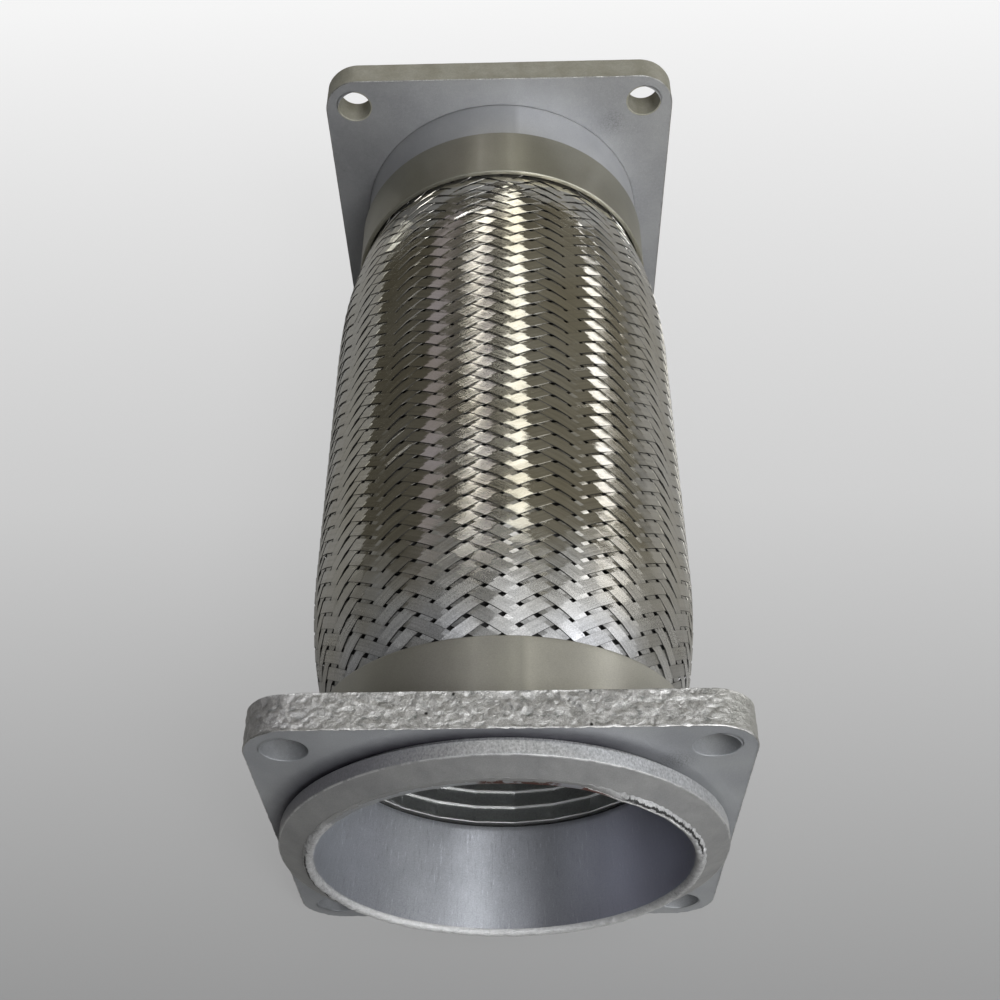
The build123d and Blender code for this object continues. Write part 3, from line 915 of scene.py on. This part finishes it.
cap_start = PLATE_THICKNESS + 0.02
near_cap_profile = densify(eased([
    (CAP_FOOT, PLATE_THICKNESS + 1), (CAP_FOOT, cap_start), (CAP_OUTER, cap_start),
    (CAP_OUTER, CAP_NEAR_EDGE), (CAP_INNER, CAP_NEAR_EDGE), (CAP_INNER, CAP_NEAR_EDGE - 7.5)], 0.7), 1.2)
far_cap_profile = densify(eased([
    (CAP_INNER, CAP_FAR_EDGE + 7.5), (CAP_INNER, CAP_FAR_EDGE),
    (CAP_OUTER, CAP_FAR_EDGE), (CAP_OUTER, STACK_END), (CAP_FOOT, STACK_END)], 0.6), 1.2)
# A shallow groove marks where the collar enters the far flange.
groove = [(COLLAR_OUTER, FAR_FACE - 0.4), (COLLAR_OUTER - 0.25, FAR_FACE - 0.2),
          (COLLAR_OUTER - 0.25, FAR_FACE + 0.4), (COLLAR_OUTER, FAR_FACE + 0.6)]
collar_profile = densify([
    (COLLAR_INNER, STACK_END), (COLLAR_OUTER, STACK_END), *groove,
    (COLLAR_OUTER, COLLAR_END), (COLLAR_INNER, COLLAR_END), (COLLAR_INNER, STACK_END)], 1.5)
turned_piece("near_cap_band", near_cap_profile, 360, near_cap_look, "near_end_cap",
             dented(18.0, 0.10, 81), 40)
turned_piece("far_cap_band", far_cap_profile, 360, far_cap_look, "far_end_cap",
             dented(18.0, 0.08, 83), 40)
turned_piece("far_collar_tube", collar_profile, 360, collar_look, "far_collar",
             dented(20.0, 0.05, 85), 40)


# Strip-wound liner

def liner_grid():
    """Many-sided tube of overlapping turns: each has a rolled lip, some facets a pressed dimple."""
    profile = [(LINER_LIP + rise, LINER_START + 0.1 + turn * LINER_PITCH + along)
               for turn in range(LINER_TURNS) for rise, along in TURN_SECTION]
    profile += [(LINER_OUTER, LINER_END - 0.1), (LINER_OUTER, LINER_START + 0.1), (LINER_GROOVE, LINER_START)]
    profile = np.array(profile)
    step = 2 * pi / LINER_FACETS
    share = np.array(FACET_PLACES)
    first = LINER_TURN + np.arange(LINER_FACETS)[:, None] * step
    a = (first + share[None, :] * step).ravel()[None, :]
    flat = np.tile(np.cos(step / 2) / np.cos(share * step - step / 2), LINER_FACETS)
    r, y, a = np.broadcast_arrays(profile[:, :1] * flat[None, :], profile[:, 1:], a)
    row = np.floor((y - LINER_START) / LINER_PITCH).astype(np.int64)
    across = (y - LINER_START) % LINER_PITCH
    inside = r < LINER_INSIDE
    facet = np.repeat(np.arange(LINER_FACETS), len(share))[None, :]
    pressed = lattice(row, facet, 0, 91) > 0.62
    at_dimple = np.tile(np.abs(share - 0.22) < 0.08, LINER_FACETS)[None, :]
    at_corner = np.tile(share == 0, LINER_FACETS)[None, :]
    dimple = at_dimple * inside * (np.abs(across - 2.7) < 1.4) * pressed
    pip = at_corner * inside * (np.abs(across - 4.8) < 0.8)
    return turned(r + 0.35 * dimple + 0.15 * pip, y, a)


grid = liner_grid()
make_piece("liner_strip", grid.reshape(-1, 3), grid_faces(grid.shape[0], grid.shape[1]), [strip_look],
           "liner", sharp=12)


# Braid

def weave_rows():
    """Heights of the weave's rows of crossings, closer in the middle than at the ends."""
    rows = [FIRST_ROW]
    while rows[0] > WEAVE_START:
        rows.insert(0, rows[0] - HIDDEN_ROW_PITCH)
    below = len(rows) - 1
    while rows[-1] < WEAVE_END:
        y = rows[-1]
        rows.append(y + (ROW_PITCH + 0.40 * np.exp(-(y - 37) / 22) + 0.22 * np.exp(-(260 - y) / 20)))
    return np.array(rows), 1 - below


ROWS, FIRST_INDEX = weave_rows()


def row_height(run):
    """Place along the pipe after that many crossings."""
    return np.interp(run, FIRST_INDEX + np.arange(len(ROWS)), ROWS)


def band_points(way, index, run, off, rise):
    """Places on one band: run counts the bands it crosses, off is across it, rise is outwards."""
    column = 2 * index + off + way * run
    y = row_height(run - way * off)
    crossing = column - 2 * index - way * np.round(run)
    crease = np.abs(np.abs(run - np.round(run)) - 0.5) < 1e-6
    bend = 1 / np.cos(COLUMN * crossing) - 1 / cos(COLUMN / 2)
    flat = np.where(crease, 0, bend) * FACET_SHARE
    r = (braid_radius(y) - BRAID_DEPTH) * (1 + flat) + rise
    return turned(r, y, FIRST_COLUMN + COLUMN * column)


def weave_phase(way, index, run):
    """Place in the weave's cycle of four crossings: 0 mid-float, 2 mid-way under."""
    column = 2 * index + way * run
    return column - 1.5 if way > 0 else column + 0.5


def weave_height(phase):
    """A float is a low arch over two crossings, and dips steeply under the next two."""
    place = np.abs((phase + 2) % 4 - 2)
    return np.interp(place, FLOAT_PLACES, FLOAT_HEIGHTS)


def band_half(y):
    """Half of a band's share of the space: the wires spread where the braid swells."""
    swell = (braid_radius(y) - BRAID_END) / BRAID_SWELL
    return 0.370 + 0.032 * swell


def band_mesh(way, index):
    """One flat band of fine wires, woven over and under."""
    cells = np.arange(FIRST_INDEX, FIRST_INDEX + len(ROWS))
    run = (cells[:, None] + np.array(CELL_SAMPLES)[None, :]).ravel()
    phase = weave_phase(way, index, run)
    seed = 100 + index + (50 if way > 0 else 0)

    def waver(size, layer):
        """Noise along the band, different in each layer."""
        return noise(run, 0.0, 0.0, size, seed + layer)

    rise = weave_height(phase) + 0.015 * waver(3.0, 600)
    middle = 0.022 * waver(5.0, 0) + 0.012 * waver(1.6, 400)
    tilt = 0.05 * waver(2.0, 500)
    half = band_half(row_height(run)) * (1 + 0.04 * waver(2.6, 300))
    points, uvs = [], []
    for across, crown in BAND_SECTION:
        off = middle + across * half
        points.append(band_points(way, index, run, off, rise + crown + across * tilt))
        u = (across + 1) / 2 * WIRES + 2 * WIRES * seed
        uvs.append(np.stack([np.full(len(run), u), phase], -1))
    faces = grid_faces(len(points), len(run), closed=False)
    return np.concatenate(points), faces, np.concatenate(uvs)


def wire_mesh(core, share, number):
    """Thin tube round a line of points, with its own place on the streaks."""
    out = core * np.array([1, 0, 1]) / np.hypot(core[:, 0], core[:, 2])[:, None]
    along = np.array([0.0, 1.0, 0.0])
    corners = np.arange(LOOSE_SIDES) * pi / 2
    grid = np.stack([core + LOOSE_RADIUS * (along * cos(q) + out * sin(q)) for q in corners], 1)
    uv = np.zeros((LOOSE_STEPS, LOOSE_SIDES, 2))
    uv[..., 0] = 4.4 + 2 * WIRES * number
    uv[..., 1] = 0.02 * share[:, None]
    return grid.reshape(-1, 3), grid_faces(LOOSE_STEPS, LOOSE_SIDES), uv.reshape(-1, 2)


def loose_wires(way):
    """Single wires that stand a little proud along the edges of some floats."""
    random = np.random.RandomState(17 if way > 0 else 29)
    parts = []
    share = np.linspace(-1, 1, LOOSE_STEPS)
    for index in range(BANDS):
        for start in range(FIRST_INDEX + 2, FIRST_INDEX + len(ROWS) - 3):
            middle = start + 0.5
            below = FLOAT_HEIGHTS[0] - weave_height(weave_phase(way, index, middle))
            if below > 1e-6 or random.uniform() > LOOSE_CHANCE:
                continue
            side = random.choice((-1, 1))
            for wire in range(random.randint(1, 4)):
                run = middle + share * random.uniform(0.75, 1.02)
                off = side * (0.34 - 0.085 * wire) + random.uniform(0, 0.03) * (1 - share ** 2) * side
                rise = weave_height(weave_phase(way, index, run)) + random.uniform(-0.01, 0.01)
                core = band_points(way, index, run, off, rise)
                parts.append(wire_mesh(core, share, len(parts)))
    return join(parts)


in_group = BANDS // GROUPS
for way, label in ((1, "right"), (-1, "left")):
    for group in range(GROUPS):
        bands = range(group * in_group, group * in_group + in_group)
        points, faces, uvs = join([band_mesh(way, index) for index in bands])
        make_piece(f"braid_{label}_{group + 1}", points, faces, [wire_look], "braid", 4.5, uvs)
    points, faces, uvs = loose_wires(way)
    make_piece(f"loose_wires_{label}", points, faces, [wire_look], sharp=80, uv=uvs)


# Hidden parts keep their solids

for name, look in (("bellows", bellows_shade_look), ("near_root_weld", plain_look), ("far_rim_weld", plain_look)):
    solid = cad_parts[name]
    solid.data.materials.clear()
    solid.data.materials.append(look)


# Floor, room, lights and camera. Their places and sizes are in metres.

FLOOR_HALF = 6.0
FLOOR_IN_METAL = 0.15
PALE = 0.86
LIGHTS_AIM = (0, 0.16, 0)
# Each light: name, place, width, length, power and colour
LIGHTS = (
    ("overhead_right", (0.190, 1.30, 1.20), 0.09, 1.8, 1.45, (1.0, 0.985, 0.90)),
    ("overhead_left", (-0.350, 1.30, 1.20), 0.05, 1.8, 1.15, (1.0, 0.98, 0.95)),
    ("mauve_middle", (-0.229, 1.31, 1.21), 0.07, 1.8, 0.16, (0.92, 0.86, 1.0)),
    ("mauve_left", (-0.98, 1.25, 1.18), 0.13, 1.8, 0.24, (0.95, 0.86, 1.0)),
    ("right_wall", (1.55, 1.5, 0.62), 0.08, 1.9, 1.5, (0.98, 0.98, 1.0)),
    ("right_front", (1.40, 0.35, 0.80), 0.30, 0.8, 1.6, (0.98, 0.98, 1.0)),
    ("left_wall", (-1.55, 1.5, -0.10), 0.10, 1.9, 1.1, (0.97, 0.98, 0.92)),
    ("key_top", (0.62, -0.72, 1.42), 3.0, 2.4, 27, (0.97, 0.98, 1.0)),
    ("key_bore", (0.56, -0.80, 1.28), 0.5, 0.5, 13, (0.97, 0.98, 1.0)),
    ("key_right", (1.25, -0.85, 0.30), 0.8, 0.8, 11, (0.98, 0.99, 1.0)),
)


def floor_look():
    """Floor that is pale to the camera and fades towards the viewer; FLOOR_IN_METAL of it is mirrored."""
    look = Look("floor", Roughness=0.9, Emission_Strength=1.0, Base_Color=(0.06, 0.06, 0.06, 1))
    along = look.parts(look.out("TexCoord", socket="Object"))[1]
    away = look.out("MapRange", {"Value": along, "From Min": -0.03, "From Max": 0.61})
    look.set("Emission Color", look.ramp(away, (0.0, 0.235), (0.35, 0.54), (1.0, PALE)))
    dim = look.out("BsdfDiffuse", {"Color": (0.24, 0.235, 0.22, 1)})
    path = look.node("LightPath").outputs
    mirrored = look.math("MAXIMUM", path["Is Glossy Ray"], path["Is Transmission Ray"])
    part = look.times(mirrored, FLOOR_IN_METAL)
    seen = look.math("MAXIMUM", path["Is Camera Ray"], part)
    mixed = look.out("MixShader", {"Fac": seen, 1: dim, 2: look.surface.outputs[0]})
    look.show(mixed, "Material Output")
    return look.material


def make_floor():
    """Flat floor under the flanges' lowest points."""
    low = -PLATE_HALF * MM
    mesh = bpy.data.meshes.new("floor")
    corners = [(x * FLOOR_HALF, y * FLOOR_HALF, low) for x, y in ((-1, -1), (1, -1), (1, 1), (-1, 1))]
    mesh.from_pydata(corners, [], [(0, 1, 2, 3)])
    mesh.materials.append(floor_look())
    obj = placed("floor", mesh)


def make_world():
    """Pale to the camera; a dim olive room to everything else."""
    world = bpy.data.worlds.new("world")
    bpy.context.scene.world = world
    world.use_nodes = True
    nodes = Nodes(world.node_tree)
    background = world.node_tree.nodes["Background"]
    background.inputs["Color"].default_value = (PALE, PALE, PALE, 1)
    background.inputs["Strength"].default_value = 1.0
    x, y = nodes.parts(nodes.out("TexCoord", socket="Generated"))[:2]
    tone = nodes.fade(y, 0.5, 0.5, (0.44, (0.11, 0.112, 0.118)), (0.52, (0.20, 0.204, 0.21)),
                      (0.65, (0.19, 0.19, 0.185)), (0.72, (0.062, 0.056, 0.038)))
    reach = {"Value": x, "From Min": 0.16, "From Max": 0.26, "To Min": 0.90, "To Max": 2.0}
    wall = nodes.out("MapRange", reach, interpolation_type="SMOOTHSTEP")
    room = nodes.out("Background", {"Color": tone, "Strength": wall})
    seen = nodes.out("LightPath", socket="Is Camera Ray")
    mixed = nodes.out("MixShader", {"Fac": seen, 1: room, 2: background.outputs[0]})
    nodes.show(mixed, "World Output")


def strip_light(name, place, width, length, power, colour):
    """Rectangular soft light whose long side runs along the pipe."""
    light = bpy.data.lights.new(name, "AREA")
    light.shape = "RECTANGLE"
    light.size = width
    light.size_y = length
    light.energy = power
    light.color = colour
    back = (Vector(place) - Vector(LIGHTS_AIM)).normalized()
    across = Vector((0, 1, 0)).cross(back).normalized()
    placed(name, light, (across, back.cross(across), back), place)


def make_camera():
    """Camera solved from the photograph's flanges, holes and rims."""
    place = Vector((7.69, -167.99, 400.56)) * MM
    yaw, pitch, roll = radians(-1.67), radians(52.66), radians(-2.21)
    ahead = Vector((sin(yaw) * cos(pitch), cos(yaw) * cos(pitch), -sin(pitch)))
    right = ahead.cross(Vector((0, 0, 1))).normalized()
    up = right.cross(ahead)
    across = cos(roll) * right + sin(roll) * up
    over = -sin(roll) * right + cos(roll) * up
    data = bpy.data.cameras.new("camera")
    data.sensor_width = 36.0
    data.lens = 1286.8 / 1000 * data.sensor_width
    data.clip_start, data.clip_end = 0.01, 50
    bpy.context.scene.camera = placed("camera", data, (across, over, -ahead), place)


make_floor()
make_world()
make_camera()
for light in LIGHTS:
    strip_light(*light)

bpy.context.scene.view_settings.view_transform = "Standard"
